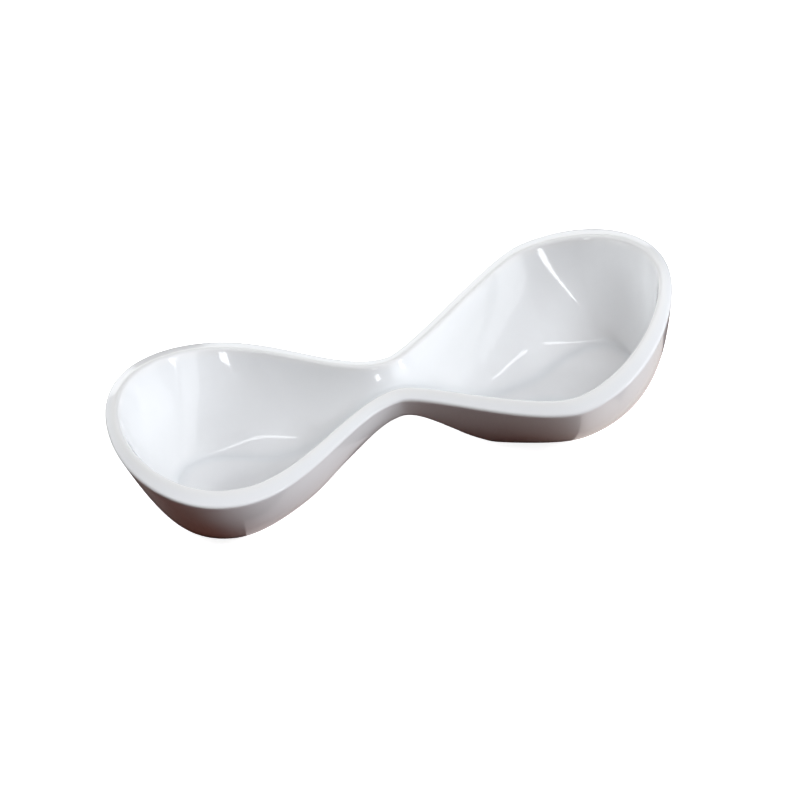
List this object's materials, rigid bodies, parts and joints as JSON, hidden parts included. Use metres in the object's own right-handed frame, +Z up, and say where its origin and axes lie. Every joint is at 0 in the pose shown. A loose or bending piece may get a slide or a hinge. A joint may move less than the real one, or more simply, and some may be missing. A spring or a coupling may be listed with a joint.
{
  "type": "chip and dip server",
  "caption": "Figure-eight serving dish: joined teardrop bowls with a thick rounded rim that rises from a pinched neck to both ends, on oval foot rings.",
  "frame": {"origin": "on the table, under the middle of the dish's box", "axes": "+X along both bowls towards the larger bowl, +Z up, +Y across; the dish is the same on both sides of the XZ plane"},
  "size_m": [0.27, 0.126, 0.0607],
  "materials": {
    "white_glaze": "high-gloss clear glaze over white porcelain",
    "bare_clay": "bare fired clay, wiped clean of glaze"
  },
  "bodies": {
    "root": {"glazed_body": "white_glaze", "foot_ring_large": "bare_clay", "foot_ring_small": "bare_clay"}
  },
  "joints": []
}
